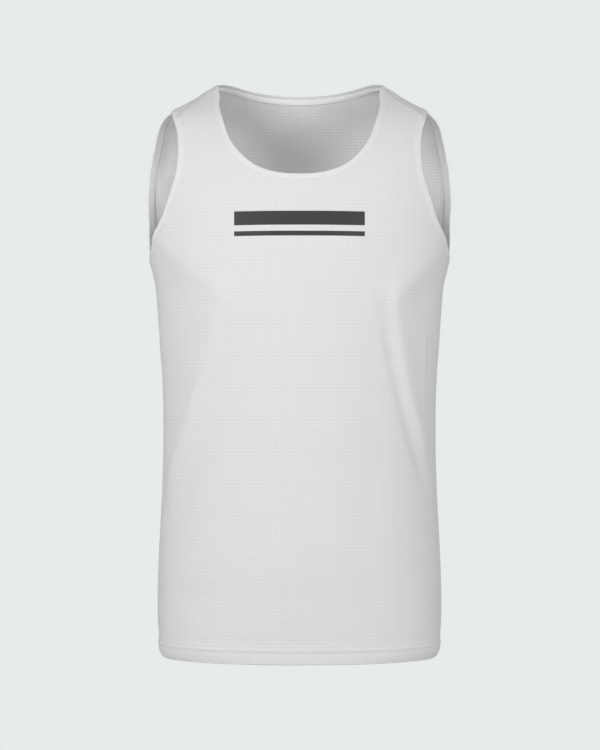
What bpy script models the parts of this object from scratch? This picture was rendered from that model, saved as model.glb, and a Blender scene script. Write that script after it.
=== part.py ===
"""A running singlet in its worn shape, hollow and open at the neck, both armholes and the hem.

The cloth follows a general torso form. A place on the form is an angle round the body and a height: 0 degrees is the
centre front, which faces -Y, 90 degrees is the wearer's left side at +X, and 180 degrees is the centre back. Height 0
is where the straps rest beside the neck. Front and back are walls of cloth that stop short of the neck and armholes,
where a bound edge takes over, and a tape covers the seam of the binding inside the back neck.
"""

import math

import bpy
import numpy as np

MM = 0.001

HEM_HEIGHT = -682.7 * MM
CLOTH = 1.2 * MM
SEAM_GAP = 0.3 * MM

HEM_DEPTH = 19.0 * MM
HEM_EXTRA = 0.8 * MM

NECK_BINDING = 6.5 * MM
ARMHOLE_BINDING = 8.5 * MM
BINDING_PROUD = 0.3 * MM
BINDING_ROUNDING = 0.9 * MM
TAPE_BELOW_EDGE = 4.0 * MM
TAPE_WIDTH = 6.4 * MM
TAPE_THICKNESS = 0.8 * MM

# The form's sections: height, half width, depth in front of the side line, depth behind it, in mm, and squareness,
# where 2 is an ellipse.
SECTIONS = (
    ("height", "half_width", "front", "back", "squareness"),
    (14, 74, 8, 63, 2.1),
    (7, 87, 14, 65.3, 2.1),
    (0, 97.4, 21, 66.8, 2.1),
    (-7, 110.6, 29, 68.2, 2.15),
    (-14, 121, 36, 69.9, 2.2),
    (-22, 134.6, 44, 72.6, 2.2),
    (-30, 149.4, 51.5, 76, 2.2),
    (-40, 164.4, 61, 80, 2.2),
    (-55, 175, 73, 86.5, 2.2),
    (-75, 182.5, 86, 96, 2.2),
    (-105, 187, 101, 108.5, 2.2),
    (-140, 187.5, 112.5, 114, 2.2),
    (-175, 184.5, 119, 115, 2.2),
    (-205, 180.5, 122, 113, 2.2),
    (-250, 172.3, 122.5, 107.5, 2.2),
    (-300, 168.1, 121, 100.4, 2.15),
    (-360, 164.1, 119.2, 91.6, 2.1),
    (-420, 163, 117.8, 87, 2.1),
    (-480, 164.4, 116.6, 89, 2.1),
    (-540, 167.4, 115.2, 96, 2.15),
    (-600, 169.8, 113.6, 103, 2.2),
    (-640, 169.6, 112.4, 106.5, 2.3),
    (-664, 168.8, 111.6, 107.5, 2.35),
    (-676, 167.6, 111.2, 107.8, 2.35),
    (-683, 164, 111, 108, 2.35),
    (-700, 152, 110.4, 108, 2.35),
)

# The cloth behind each armhole stands out from the form by this much at most, between the underarm and the shoulder.
BACK_FLARE = 20.0 * MM
FLARE_LOW = -205.0 * MM
FLARE_HIGH = -30.0 * MM

# The finished neck edge from the centre front over the shoulder to the centre back: angle, and height in mm.
NECK_EDGE = (
    ("angle", "height"),
    (0, -115),
    (8.5, -112.8),
    (16, -104),
    (22.6, -87),
    (28.5, -63),
    (32.6, -44.5),
    (38.2, -31.8),
    (44.2, -23),
    (52.8, -13),
    (59.4, -7.6),
    (72, -2.4),
    (90, 0),
    (103, 2.2),
    (116, 2.8),
    (132, 0.9),
    (148, -2.2),
    (164, -5.3),
    (180, -6.5),
)
NECK_SHOULDER_ROW = 11

# The finished armhole edge on the wearer's left, from the underarm up the front to the shoulder.
ARMHOLE_FRONT = (
    ("angle", "height"),
    (90, -208),
    (79, -203),
    (68.5, -183.5),
    (61, -166.5),
    (55, -141),
    (50.9, -115),
    (50.2, -90),
    (53, -67),
    (58, -52),
    (69.5, -38),
    (90, -32.2),
)
# The same edge from the shoulder down the back to the underarm.
ARMHOLE_BACK = (
    ("angle", "height"),
    (90, -32.2),
    (98, -39.3),
    (104, -50.5),
    (112, -71),
    (116, -93),
    (117, -116),
    (114.7, -140),
    (109, -165),
    (99, -190),
    (90, -208),
)

# The largest folds: where each begins and ends as angle and height in mm, how far it bows sideways, its half width and
# its depth in mm, and its skew: how much wider it is towards the wearer's left, or upwards where it lies level. A
# positive depth stands out as a ridge and a negative one sinks in as a trough. Minus angles are on the wearer's right.
FOLD_RADIUS = 150.0 * MM
FOLDS = (
    ("from_angle", "from_height", "to_angle", "to_height", "bow", "half_width", "depth", "skew"),
    (-28, -205, -74, -510, 14, 25, 4.6, 0),
    (39, -212, 68, -462, -17, 15, 4.0, 0.8),
    (-80, -160, -25, -266, 0, 13, 2.8, 1.3),
    (74, -184, 36, -262, 0, 26, 2.6, -0.55),
    (-95, -236, -44, -262, 0, 12, -2.0, 0),
    (95, -236, 46, -262, 0, 12, -2.0, 0),
    (-24, -262, -66, -560, 6, 12, -1.6, 0),
    (33, -236, 69, -500, -13, 9, -2.8, 0.2),
    (-62, -520, -66, -740, 0, 20, 0.8, 0),
    (64, -540, 66, -740, 0, 20, 0.8, 0),
    (152, -225, 108, -520, 6, 16, 3.4, 0),
    (144, -240, 98, -480, 8, 15, -3.6, 0),
    (160, -300, 122, -600, 6, 18, -2.6, 0),
    (-150, -220, -110, -540, -6, 16, 3.2, 0),
    (-140, -235, -98, -450, -8, 15, -3.8, 0),
    (-162, -330, -126, -640, -6, 18, -2.4, 0),
    (176, -420, 166, -740, 0, 24, 2.2, 0),
    (-172, -470, -156, -740, 0, 22, -2.2, 0),
    (122, -70, 136, -205, -3, 13, -3.0, 0),
    (-122, -70, -138, -215, 3, 13, -3.0, 0),
)
FOLD_END = 0.28

# Half a panel is a grid. Its columns climb from the hem and end at the neck, at the strap or at the armhole, and the
# strap's own rows climb on from there to the shoulder seam.
NECK_COLUMNS = 7
STRAP_COLUMNS = 6
ARMHOLE_COLUMNS = 13
COLUMNS = NECK_COLUMNS + STRAP_COLUMNS + ARMHOLE_COLUMNS
BODY_ROWS = 29
STRAP_ROWS = 11
HEM_STEP = 1.5 * MM

PANEL_COLOUR = (0.80, 0.80, 0.80, 1.0)
BINDING_COLOUR = (0.84, 0.84, 0.84, 1.0)
TAPE_COLOUR = (0.88, 0.88, 0.88, 1.0)


def column(table, name):
    """One named column of a table as an array."""
    return np.array([row[table[0].index(name)] for row in table[1:]], float)


class Spline:
    """A cubic spline through knots. With level ends its slope is zero there, and otherwise its curvature is."""

    def __init__(self, knots, values, level_ends=False):
        order = np.argsort(knots)
        self.knots = np.asarray(knots, float)[order]
        self.values = np.asarray(values, float)[order]
        step = np.diff(self.knots)
        rise = np.diff(self.values) / step
        count = len(self.knots)
        matrix = np.eye(count)
        right = np.zeros(count)
        for i in range(1, count - 1):
            matrix[i, i - 1 : i + 2] = step[i - 1], 2 * (step[i - 1] + step[i]), step[i]
            right[i] = 6 * (rise[i] - rise[i - 1])
        if level_ends:
            matrix[0, :2] = 2 * step[0], step[0]
            matrix[-1, -2:] = step[-1], 2 * step[-1]
            right[0] = 6 * rise[0]
            right[-1] = -6 * rise[-1]
        self.curvature = np.linalg.solve(matrix, right)

    def __call__(self, at):
        at = np.clip(at, self.knots[0], self.knots[-1])
        i = np.clip(np.searchsorted(self.knots, at) - 1, 0, len(self.knots) - 2)
        step = self.knots[i + 1] - self.knots[i]
        low = (self.knots[i + 1] - at) / step
        high = 1 - low
        bend = (low**3 - low) * self.curvature[i] + (high**3 - high) * self.curvature[i + 1]
        return low * self.values[i] + high * self.values[i + 1] + bend * step**2 / 6


SECTION_HEIGHTS = column(SECTIONS, "height") * MM
HALF_WIDTH = Spline(SECTION_HEIGHTS, column(SECTIONS, "half_width") * MM)
FRONT_DEPTH = Spline(SECTION_HEIGHTS, column(SECTIONS, "front") * MM)
BACK_DEPTH = Spline(SECTION_HEIGHTS, column(SECTIONS, "back") * MM)
SQUARENESS = Spline(SECTION_HEIGHTS, column(SECTIONS, "squareness"))


def plain_form(angle, height):
    """Points of the torso form without folds, at angles in radians and heights in metres."""
    sine = np.sin(angle)
    behind = np.cos(angle) < 0
    climb = np.clip((height - FLARE_LOW) / (FLARE_HIGH - FLARE_LOW), 0, 1)
    flare = np.where(behind, BACK_FLARE * np.sin(math.pi * climb) ** 2, 0)
    depth = np.where(behind, BACK_DEPTH(height), -FRONT_DEPTH(height))
    power = SQUARENESS(height)
    across = (HALF_WIDTH(height) + flare) * sine
    along = depth * np.maximum(1 - np.abs(sine) ** power, 0) ** (1 / power)
    return np.stack([across, along, height + 0 * angle], axis=-1)


def slopes(surface, angle, height):
    """How a surface's points move with the angle and with the height."""
    turn = math.radians(0.5)
    rise = 0.5 * MM
    by_angle = (surface(angle + turn, height) - surface(angle - turn, height)) / (2 * turn)
    by_height = (surface(angle, height + rise) - surface(angle, height - rise)) / (2 * rise)
    return by_angle, by_height


def outward(surface, angle, height):
    """Unit normals of a surface, pointing away from the body."""
    normal = np.cross(*slopes(surface, angle, height))
    return normal / np.linalg.norm(normal, axis=-1, keepdims=True)


def smooth_step(value):
    value = np.clip(value, 0, 1)
    return value * value * (3 - 2 * value)


def fold_relief(angle, height):
    """How far the cloth stands out from the form at each place, from the table of folds."""
    angle = np.mod(np.asarray(angle) + math.pi, 2 * math.pi) - math.pi
    relief = 0 * angle
    for row in FOLDS[1:]:
        fold = dict(zip(FOLDS[0], row))
        start = np.array([math.radians(fold["from_angle"]) * FOLD_RADIUS, fold["from_height"] * MM])
        end = np.array([math.radians(fold["to_angle"]) * FOLD_RADIUS, fold["to_height"] * MM])
        length = np.linalg.norm(end - start)
        along_x, along_z = (end - start) / length
        for turn in (-2 * math.pi, 0, 2 * math.pi):
            right = (angle + turn) * FOLD_RADIUS - start[0]
            up = height - start[1]
            share = (right * along_x + up * along_z) / length
            bow = fold["bow"] * MM * 4 * share * (1 - share)
            away = (up * along_x - right * along_z - bow) / (fold["half_width"] * MM)
            away = np.where(away > 0, away / (1 + fold["skew"]), away)
            ends = smooth_step(share / FOLD_END) * smooth_step((1 - share) / FOLD_END)
            relief = relief + fold["depth"] * MM * ends * np.exp(-np.minimum(away**2, 30))
    return relief


def cloth(angle, height):
    """The outer face of the cloth: the form with its folds."""
    lift = fold_relief(angle, height)[..., None]
    return plain_form(angle, height) + lift * outward(plain_form, angle, height)


def walk(angle, height, direction, distance):
    """Moves places over the form by a distance along directions in space."""
    steps = 4
    for _ in range(steps):
        by_angle, by_height = slopes(plain_form, angle, height)
        aa = (by_angle**2).sum(-1)
        hh = (by_height**2).sum(-1)
        ah = (by_angle * by_height).sum(-1)
        da = (by_angle * direction).sum(-1)
        dh = (by_height * direction).sum(-1)
        det = aa * hh - ah**2
        angle = angle + (da * hh - dh * ah) / det * distance / steps
        height = height + (dh * aa - da * ah) / det * distance / steps
    return angle, height


class Edge:
    """A closed finished edge on the form, as angles and heights, with the direction into the cloth at each place.

    Hand is 1 where the cloth lies to the right of the way along the edge, seen from outside, and -1 to the left.
    """

    def __init__(self, angle, height, hand):
        self.angle = angle
        self.height = height
        self.hand = hand
        points = plain_form(angle, height)
        along = np.roll(points, -1, axis=0) - np.roll(points, 1, axis=0)
        inward = hand * np.cross(along, outward(plain_form, angle, height))
        self.inward = inward / np.linalg.norm(inward, axis=-1, keepdims=True)

    def inside(self, distance):
        """The same edge moved into the cloth by a distance. Places on a centre line or a seam stay on it."""
        angle, height = walk(self.angle, self.height, self.inward, distance)
        on_line = np.isclose(np.mod(self.angle + 0.1, math.pi / 2), 0.1)
        return np.where(on_line, self.angle, angle), height


def even_places(angle_curve, height_curve, start, end, count):
    """Places evenly spaced along a curve on the form, both ends included."""
    fine = np.linspace(start, end, 401)
    points = plain_form(angle_curve(fine), height_curve(fine))
    run = np.concatenate([[0], np.cumsum(np.linalg.norm(np.diff(points, axis=0), axis=1))])
    at = np.interp(np.linspace(0, run[-1], count + 1), run, fine)
    return angle_curve(at), height_curve(at)


def edge_curves(table):
    """Splines for the angle and height of an edge, over the length of its chords, and those lengths at its rows."""
    angle = np.radians(column(table, "angle"))
    height = column(table, "height") * MM
    points = plain_form(angle, height)
    run = np.concatenate([[0], np.cumsum(np.linalg.norm(np.diff(points, axis=0), axis=1))])
    return Spline(run, angle), Spline(run, height, level_ends=True), run


def neck_edge(count):
    """The whole neck edge, with a count of places for each quarter. It starts at the centre front, to the left."""
    angle_curve, height_curve, run = edge_curves(NECK_EDGE)
    shoulder = run[NECK_SHOULDER_ROW]
    front = even_places(angle_curve, height_curve, 0, shoulder, count)
    back = even_places(angle_curve, height_curve, shoulder, run[-1], count)
    angle = np.concatenate([front[0][:-1], back[0]])
    height = np.concatenate([front[1][:-1], back[1]])
    angle = np.concatenate([angle, 2 * math.pi - angle[-2:0:-1]])
    height = np.concatenate([height, height[-2:0:-1]])
    return Edge(angle, height, 1)


def armhole_edge(count):
    """The wearer's left armhole, with a count of places for each half. It starts at the underarm, up the front."""
    front_angle, front_height, front_run = edge_curves(ARMHOLE_FRONT)
    back_angle, back_height, back_run = edge_curves(ARMHOLE_BACK)
    front = even_places(front_angle, front_height, 0, front_run[-1], count)
    back = even_places(back_angle, back_height, 0, back_run[-1], count)
    angle = np.concatenate([front[0][:-1], back[0][:-1]])
    height = np.concatenate([front[1][:-1], back[1][:-1]])
    return Edge(angle, height, -1)


def solid(name, points, faces, colour, roughness=0.75):
    """A closed mesh object with its own material."""
    mesh = bpy.data.meshes.new(name)
    mesh.from_pydata([tuple(p) for p in points], [], faces)
    mesh.validate()
    mesh.shade_smooth()
    mesh.set_sharp_from_angle(angle=math.radians(50))
    material = bpy.data.materials.new(name)
    material.use_nodes = True
    shader = material.node_tree.nodes["Principled BSDF"]
    shader.inputs["Base Color"].default_value = colour
    shader.inputs["Roughness"].default_value = roughness
    mesh.materials.append(material)
    piece = bpy.data.objects.new(name, mesh)
    bpy.context.scene.collection.objects.link(piece)
    return piece


def wall_of(outer, inner, faces):
    """Points and faces of a wall between an outer and an inner sheet that share their faces, closed round its rim."""
    count = len(outer)
    edges = {}
    for face in faces:
        for a, b in zip(face, face[1:] + face[:1]):
            edges[(a, b)] = True
    rim = [(a, b) for a, b in edges if (b, a) not in edges]
    closed = list(faces)
    closed += [tuple(count + i for i in reversed(face)) for face in faces]
    closed += [(b, a, count + a, count + b) for a, b in rim]
    return np.concatenate([outer, inner]), closed


def mirror_angle(angle, behind):
    """The same place on the wearer's right."""
    return (2 * math.pi if behind else 0) - angle


def panel_places(behind, neck_angle, neck_height, hole_angle, hole_height):
    """The places of half a panel as angles and heights, over rows and columns, from the places along its edges.

    Neck places start at the centre line and armhole places at the underarm. Both end at the shoulder.
    """
    side = math.pi / 2
    centre = math.pi if behind else 0
    strap_start = NECK_COLUMNS
    strap_end = NECK_COLUMNS + STRAP_COLUMNS
    angle = np.zeros((BODY_ROWS + STRAP_ROWS + 1, COLUMNS + 1))
    height = np.zeros_like(angle)

    across = np.linspace(0, 1, STRAP_COLUMNS + 1)
    strap = slice(strap_start, strap_end + 1)
    for step in range(STRAP_ROWS + 1):
        row = BODY_ROWS + step
        near = NECK_COLUMNS + step
        far = ARMHOLE_COLUMNS + step
        angle[row, strap] = neck_angle[near] * (1 - across) + hole_angle[far] * across
        height[row, strap] = neck_height[near] * (1 - across) + hole_height[far] * across
    angle[BODY_ROWS, : strap_start + 1] = neck_angle[: NECK_COLUMNS + 1]
    height[BODY_ROWS, : strap_start + 1] = neck_height[: NECK_COLUMNS + 1]
    angle[BODY_ROWS, strap_end:] = hole_angle[ARMHOLE_COLUMNS::-1]
    height[BODY_ROWS, strap_end:] = hole_height[ARMHOLE_COLUMNS::-1]

    hem_angle = np.linspace(centre, side, COLUMNS + 1)
    fold_line = HEM_HEIGHT + HEM_DEPTH
    hem_rows = (HEM_HEIGHT, fold_line - HEM_STEP, fold_line + HEM_STEP)
    for row in range(BODY_ROWS):
        share = max(row - 2, 0) / (BODY_ROWS - 2)
        angle[row] = hem_angle * (1 - share**3) + angle[BODY_ROWS] * share**3
        height[row] = hem_rows[min(row, 2)] * (1 - share) + height[BODY_ROWS] * share
    return angle, height


def panel_faces(behind):
    """The grid's faces for a whole panel, and for each of its points the row and the column.

    Columns below 0 are on the wearer's right.
    """
    index = {}

    def point(row, col):
        return index.setdefault((row, col), len(index))

    faces = []
    for row in range(BODY_ROWS + STRAP_ROWS):
        for col in range(-COLUMNS, COLUMNS):
            beside = col if col >= 0 else -col - 1
            if row >= BODY_ROWS and not NECK_COLUMNS <= beside < NECK_COLUMNS + STRAP_COLUMNS:
                continue
            corners = [point(row, col), point(row, col + 1), point(row + 1, col + 1), point(row + 1, col)]
            faces.append(tuple(reversed(corners)) if behind else tuple(corners))
    return faces, np.array(list(index))


def panel(name, behind, neck, armhole):
    """The front or the back: one wall of cloth, doubled along its turned-up hem."""
    neck_angle, neck_height = neck.inside(NECK_BINDING + SEAM_GAP)
    hole_angle, hole_height = armhole.inside(ARMHOLE_BINDING + SEAM_GAP)
    neck_count = NECK_COLUMNS + STRAP_ROWS
    hole_count = ARMHOLE_COLUMNS + STRAP_ROWS
    if behind:
        neck_part = list(range(2 * neck_count, neck_count - 1, -1))
        hole_part = [0] + list(range(2 * hole_count - 1, hole_count - 1, -1))
    else:
        neck_part = list(range(neck_count + 1))
        hole_part = list(range(hole_count + 1))
    neck_places = neck_angle[neck_part], neck_height[neck_part]
    hole_places = hole_angle[hole_part], hole_height[hole_part]

    half = panel_places(behind, *neck_places, *hole_places)
    faces, grid = panel_faces(behind)
    row, col = grid.T
    angle = half[0][row, abs(col)]
    angle = np.where(col < 0, mirror_angle(angle, behind), angle)
    height = half[1][row, abs(col)]

    doubled = HEM_EXTRA * (height < HEM_HEIGHT + HEM_DEPTH)
    outer = cloth(angle, height)
    inner = outer - (CLOTH + doubled)[:, None] * outward(cloth, angle, height)
    points, closed = wall_of(outer, inner, faces)
    points[:, 1] += SEAM_GAP / 2 * (1 if behind else -1)
    return solid(name, points, closed, PANEL_COLOUR)


def strip(name, places, hand, profile, colour, closed=True, shift=0.0):
    """A narrow strip along an edge. The profile's points are distances in from the edge and depths under the cloth.

    The places function gives the edge's angles and heights at a distance in from it.
    """
    rings = []
    for distance, depth in profile:
        angle, height = places(distance)
        rings.append(cloth(angle, height) - depth * outward(cloth, angle, height))
    count = len(rings[0])
    size = len(profile)
    points = np.stack(rings, axis=1).reshape(-1, 3)
    points[:, 1] += shift
    faces = []
    for i in range(count if closed else count - 1):
        after = (i + 1) % count
        for j in range(size):
            beside = (j + 1) % size
            faces.append((i * size + j, i * size + beside, after * size + beside, after * size + j))
    if not closed:
        faces.append(tuple(range(size - 1, -1, -1)))
        faces.append(tuple((count - 1) * size + j for j in range(size)))
    if hand < 0:
        faces = [tuple(reversed(face)) for face in faces]
    return solid(name, points, faces, colour)


def binding(name, edge, width, side=1):
    """A bound edge, rounded at the finished edge. Side -1 puts it on the wearer's right."""
    outer = -BINDING_PROUD
    inner = CLOTH + BINDING_PROUD
    profile = [
        (0, (outer + inner) / 2),
        (BINDING_ROUNDING, outer),
        (width, outer),
        (width, inner),
        (BINDING_ROUNDING, inner),
    ]

    def places(distance):
        angle, height = edge.inside(distance)
        return side * angle, height

    return strip(name, places, edge.hand * side, profile, BINDING_COLOUR)


def neck_tape(neck):
    """The tape inside the back neck, from one shoulder seam to the other, over the seam of the binding."""
    half = NECK_COLUMNS + STRAP_ROWS
    back = slice(half, 3 * half + 1)
    far = TAPE_BELOW_EDGE + TAPE_WIDTH
    top = CLOTH + BINDING_PROUD + SEAM_GAP
    bottom = top + TAPE_THICKNESS
    profile = [(TAPE_BELOW_EDGE, top), (far, top), (far, bottom), (TAPE_BELOW_EDGE, bottom)]

    def places(distance):
        angle, height = neck.inside(distance)
        return angle[back], height[back]

    return strip("neck_tape", places, neck.hand, profile, TAPE_COLOUR, closed=False, shift=SEAM_GAP / 2)


def build():
    for old in list(bpy.data.objects):
        bpy.data.objects.remove(old, do_unlink=True)
    neck = neck_edge(NECK_COLUMNS + STRAP_ROWS)
    armhole = armhole_edge(ARMHOLE_COLUMNS + STRAP_ROWS)
    panel("front_panel", False, neck, armhole)
    panel("back_panel", True, neck, armhole)
    binding("neck_binding", neck, NECK_BINDING)
    neck_tape(neck)
    binding("armhole_binding_left", armhole, ARMHOLE_BINDING)
    binding("armhole_binding_right", armhole, ARMHOLE_BINDING, side=-1)


build()
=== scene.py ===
"""A white running singlet in fine grid jersey, in its worn shape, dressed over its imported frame.

The cloth follows the frame's torso form. A place on the form is an angle round the body and a height. The
centre front, which faces -Y, is at 0 degrees, the wearer's left side, at +X, is at 90 degrees, and the centre
back is at 180 degrees. Height 0 is where the straps rest beside the neck.
"""

import math

import bpy
import numpy as np
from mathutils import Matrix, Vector


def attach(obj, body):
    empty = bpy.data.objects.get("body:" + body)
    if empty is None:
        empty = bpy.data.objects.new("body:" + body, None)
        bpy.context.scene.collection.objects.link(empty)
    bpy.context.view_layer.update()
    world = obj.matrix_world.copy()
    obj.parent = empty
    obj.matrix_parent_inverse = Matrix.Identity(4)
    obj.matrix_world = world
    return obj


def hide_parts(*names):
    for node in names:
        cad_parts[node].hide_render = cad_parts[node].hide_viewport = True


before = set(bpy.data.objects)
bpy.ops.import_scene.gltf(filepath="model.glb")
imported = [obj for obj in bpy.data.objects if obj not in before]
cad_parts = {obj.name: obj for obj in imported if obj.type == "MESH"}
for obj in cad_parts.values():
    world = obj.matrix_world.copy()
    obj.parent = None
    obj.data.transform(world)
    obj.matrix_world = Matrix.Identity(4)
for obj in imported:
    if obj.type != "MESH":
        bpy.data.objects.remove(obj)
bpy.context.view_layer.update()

MM = 0.001

# Cloth and hem. The cloth dips towards the side and shoulder seams, and SEAM_DIP_FADE of the dip is left at
# each next column or row from the seam. HEM_FOLD_WALL keeps the wall from closing at the hem's fold.
HEM_HEIGHT = -682.7 * MM
CLOTH = 0.9 * MM
HEM_DEPTH = 19.0 * MM
HEM_ROUND = 0.9 * MM
HEM_FOLD_WALL = 0.02 * MM
SEAM_DIP = 0.5 * MM
SEAM_DIP_FADE = 0.35
SEAM_CLEARANCE = 0.02 * MM

# Bands round the neck and the armholes: a strip folded over the cloth's cut edge. Each layer swells from
# the fold to a groove, where its line of stitches lies. Inside the armholes the layer is wider and fuller,
# and painted shade darkens a line FURROW_SHADE_WIDTH wide along its groove.
NECK_BAND = 6.5 * MM
ARMHOLE_BAND = 8.5 * MM
ARMHOLE_BAND_INSIDE = 12.4 * MM
BAND_CLOTH = 0.42 * MM
BAND_CLEARANCE = 0.03 * MM
BAND_STITCH = 1.3 * MM
BAND_GROOVE = 0.16 * MM
BAND_SWELL = 0.12 * MM
BAND_GROOVE_INSIDE = 0.34 * MM
BAND_SWELL_INSIDE = 0.35 * MM
FURROW_SHADE_WIDTH = 2.2 * MM
CLOTH_UNDER_BAND = 1.5 * MM

# Tape over the band's seam inside the back neck. It leans off the cloth, less at its ends, and the lean
# changes over TAPE_END_PLACES of the neck's places there.
TAPE_BELOW_EDGE = 3.4 * MM
TAPE_WIDTH = 7.0 * MM
TAPE_THICKNESS = 0.4 * MM
TAPE_CLEARANCE = 0.08 * MM
TAPE_LEAN = math.radians(4)
TAPE_END_LEAN = math.radians(2)
TAPE_END_PLACES = 40

# The form's sections: height, half width, depth in front of the side line, depth behind it, in mm, and
# squareness, where 2 is an ellipse.
SECTIONS = (
    ("height", "half_width", "front", "back", "squareness"),
    (14, 74, 8, 63, 2.1),
    (7, 87, 14, 65.3, 2.1),
    (0, 97.4, 21, 66.8, 2.1),
    (-7, 110.6, 29, 68.2, 2.15),
    (-14, 121, 36, 69.9, 2.2),
    (-22, 134.6, 44, 72.6, 2.2),
    (-30, 149.4, 51.5, 76, 2.2),
    (-40, 164.4, 61, 80, 2.2),
    (-55, 175, 73, 86.5, 2.2),
    (-75, 182.5, 86, 96, 2.2),
    (-105, 187, 101, 108.5, 2.2),
    (-140, 187.5, 112.5, 114, 2.2),
    (-175, 184.5, 119, 115, 2.2),
    (-205, 180.5, 122, 113, 2.2),
    (-250, 172.3, 122.5, 107.5, 2.2),
    (-300, 168.1, 121, 100.4, 2.15),
    (-360, 164.1, 119.2, 91.6, 2.1),
    (-420, 163, 117.8, 87, 2.1),
    (-480, 164.4, 116.6, 89, 2.1),
    (-540, 167.4, 115.2, 96, 2.15),
    (-600, 169.8, 113.6, 103, 2.2),
    (-640, 169.6, 112.4, 106.5, 2.3),
    (-664, 168.8, 111.6, 107.5, 2.35),
    (-676, 167.6, 111.2, 107.8, 2.35),
    (-683, 164, 111, 108, 2.35),
    (-700, 152, 110.4, 108, 2.35),
)

# Behind each armhole the cloth stands out by BACK_FLARE at most, between the underarm and the shoulder.
BACK_FLARE = 20.0 * MM
FLARE_LOW = -205.0 * MM
FLARE_HIGH = -30.0 * MM

# The finished neck edge, from the centre front over the shoulder to the centre back: angle, height in mm
NECK_EDGE = (
    ("angle", "height"),
    (0, -115),
    (8.5, -112.8),
    (16, -104),
    (22.6, -87),
    (28.5, -63),
    (32.6, -44.5),
    (38.2, -31.8),
    (44.2, -23),
    (52.8, -13),
    (59.4, -7.6),
    (72, -2.4),
    (90, 0),
    (103, 2.2),
    (116, 2.8),
    (132, 0.9),
    (148, -2.2),
    (164, -5.3),
    (180, -6.5),
)
NECK_SHOULDER_ROW = 11

# The finished armhole edge on the wearer's left, from the underarm up the front to the shoulder, and then
# down the back to the underarm
ARMHOLE_FRONT = (
    ("angle", "height"),
    (90, -208),
    (79, -203),
    (68.5, -183.5),
    (61, -166.5),
    (55, -141),
    (50.9, -115),
    (50.2, -90),
    (53, -67),
    (58, -52),
    (69.5, -38),
    (90, -32.2),
)
ARMHOLE_BACK = (
    ("angle", "height"),
    (90, -32.2),
    (98, -39.3),
    (104, -50.5),
    (112, -71),
    (116, -93),
    (117, -116),
    (114.7, -140),
    (109, -165),
    (99, -190),
    (90, -208),
)

# Folds and creases: where each begins and ends as angle and height in mm, how far it bows sideways, its
# half width and its depth in mm, and its skew: how much wider it is towards the wearer's left, or upwards
# where it lies level. It is a ridge where its depth is positive, or else a trough. Minus angles are on the
# wearer's right, and an angle counts as a length round FOLD_RADIUS. A fold is round across its middle and a
# crease comes to a soft edge there, sharper for a smaller FOLD_EDGE or CREASE_EDGE. Each rises and ends
# over a share of its length, FOLD_END or CREASE_END.
FOLD_RADIUS = 150.0 * MM
FOLD_END = 0.28
FOLD_EDGE = 8.0
CREASE_END = 0.16
CREASE_EDGE = 0.3
FOLDS = (
    ("from_angle", "from_height", "to_angle", "to_height", "bow", "half_width", "depth", "skew"),
    (-80, -160, -25, -266, 0, 13, 2.8, 1.3),
    (74, -184, 36, -262, 0, 26, 2.6, -0.55),
    (-95, -236, -44, -262, 0, 12, -2.0, 0),
    (95, -236, 46, -262, 0, 12, -2.0, 0),
    (-24, -262, -66, -560, 6, 12, -2.4, 0),
    (33, -236, 69, -500, -13, 9, -3.6, 0.2),
    (29, -320, 33, -690, 0, 20, -0.6, 0),
    (40, -400, 41, -750, 0, 18, 0.5, 0),
    (-20, -500, -25, -750, 0, 26, -0.5, 0),
    (-72, -604, -18, -610, 0, 7, -0.6, 0),
    (-90, -570, 80, -566, 0, 28, 1.3, 0.8),
    (-62, -520, -66, -740, 0, 20, 0.8, 0),
    (64, -540, 66, -740, 0, 20, 0.8, 0),
    (152, -225, 108, -520, 6, 16, 3.4, 0),
    (144, -240, 98, -480, 8, 15, -3.6, 0),
    (160, -300, 122, -600, 6, 18, -2.6, 0),
    (-150, -220, -110, -540, -6, 16, 3.2, 0),
    (-140, -235, -98, -450, -8, 15, -3.8, 0),
    (-162, -330, -126, -640, -6, 18, -2.4, 0),
    (176, -420, 166, -740, 0, 24, 2.2, 0),
    (-172, -470, -156, -740, 0, 22, -2.2, 0),
    (122, -70, 136, -205, -3, 13, -3.0, 0),
    (-122, -70, -138, -215, 3, 13, -3.0, 0),
)
CREASES = (
    ("from_angle", "from_height", "to_angle", "to_height", "bow", "half_width", "depth", "skew"),
    (-28, -215, -74, -500, 14, 22, 5.0, 0),
    (39, -222, 68, -452, -17, 13, 4.4, 0.8),
    (108, -32, 126, -112, 12, 5, 3.0, 0),
    (119, -75, 110, -190, 16.5, 3.2, 1.6, 0),
    (-108, -32, -126, -112, -12, 5, 3.0, 0),
    (-119, -75, -110, -190, -16.5, 3.2, 1.6, 0),
    (73, -7, 64, -34, -2, 4, -1.3, 0),
    (60, -16, 56, -84, 4, 8, 1.0, 0),
    (-78, -16, -60, -48, 4, 5, -1.2, 0),
    (61, -290, 63, -390, 0, 5, 1.0, 0),
    (35, -470, 33, -640, 1, 6, 0.5, 0.3),
    (44, -520, 45, -660, -1, 6, -0.5, 0.3),
    (51, -560, 53, -690, 1, 7, 0.5, 0.4),
)

# Places in half a panel of cloth. Its columns climb from the hem and end at the neck, at the strap or at
# the armhole, and the strap's own rows climb on from there to the shoulder seam.
NECK_COLUMNS = 28
STRAP_COLUMNS = 24
ARMHOLE_COLUMNS = 52
COLUMNS = NECK_COLUMNS + STRAP_COLUMNS + ARMHOLE_COLUMNS
BODY_ROWS = 112
STRAP_ROWS = 44

# Rows of places above the hem's fold in mm, below the even rows: closest at the fold and the two seams
HEM_ROWS = (
    0, 0.25, 0.6, 1, 2.5, 5, 8, 11, 12.5, 13.3, 14, 14.7, 15.5, 16.6,
    17.8, 18.4, 19, 19.6, 20.2, 21.5, 23, 24.5, 26.5, 29, 32,
)

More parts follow.
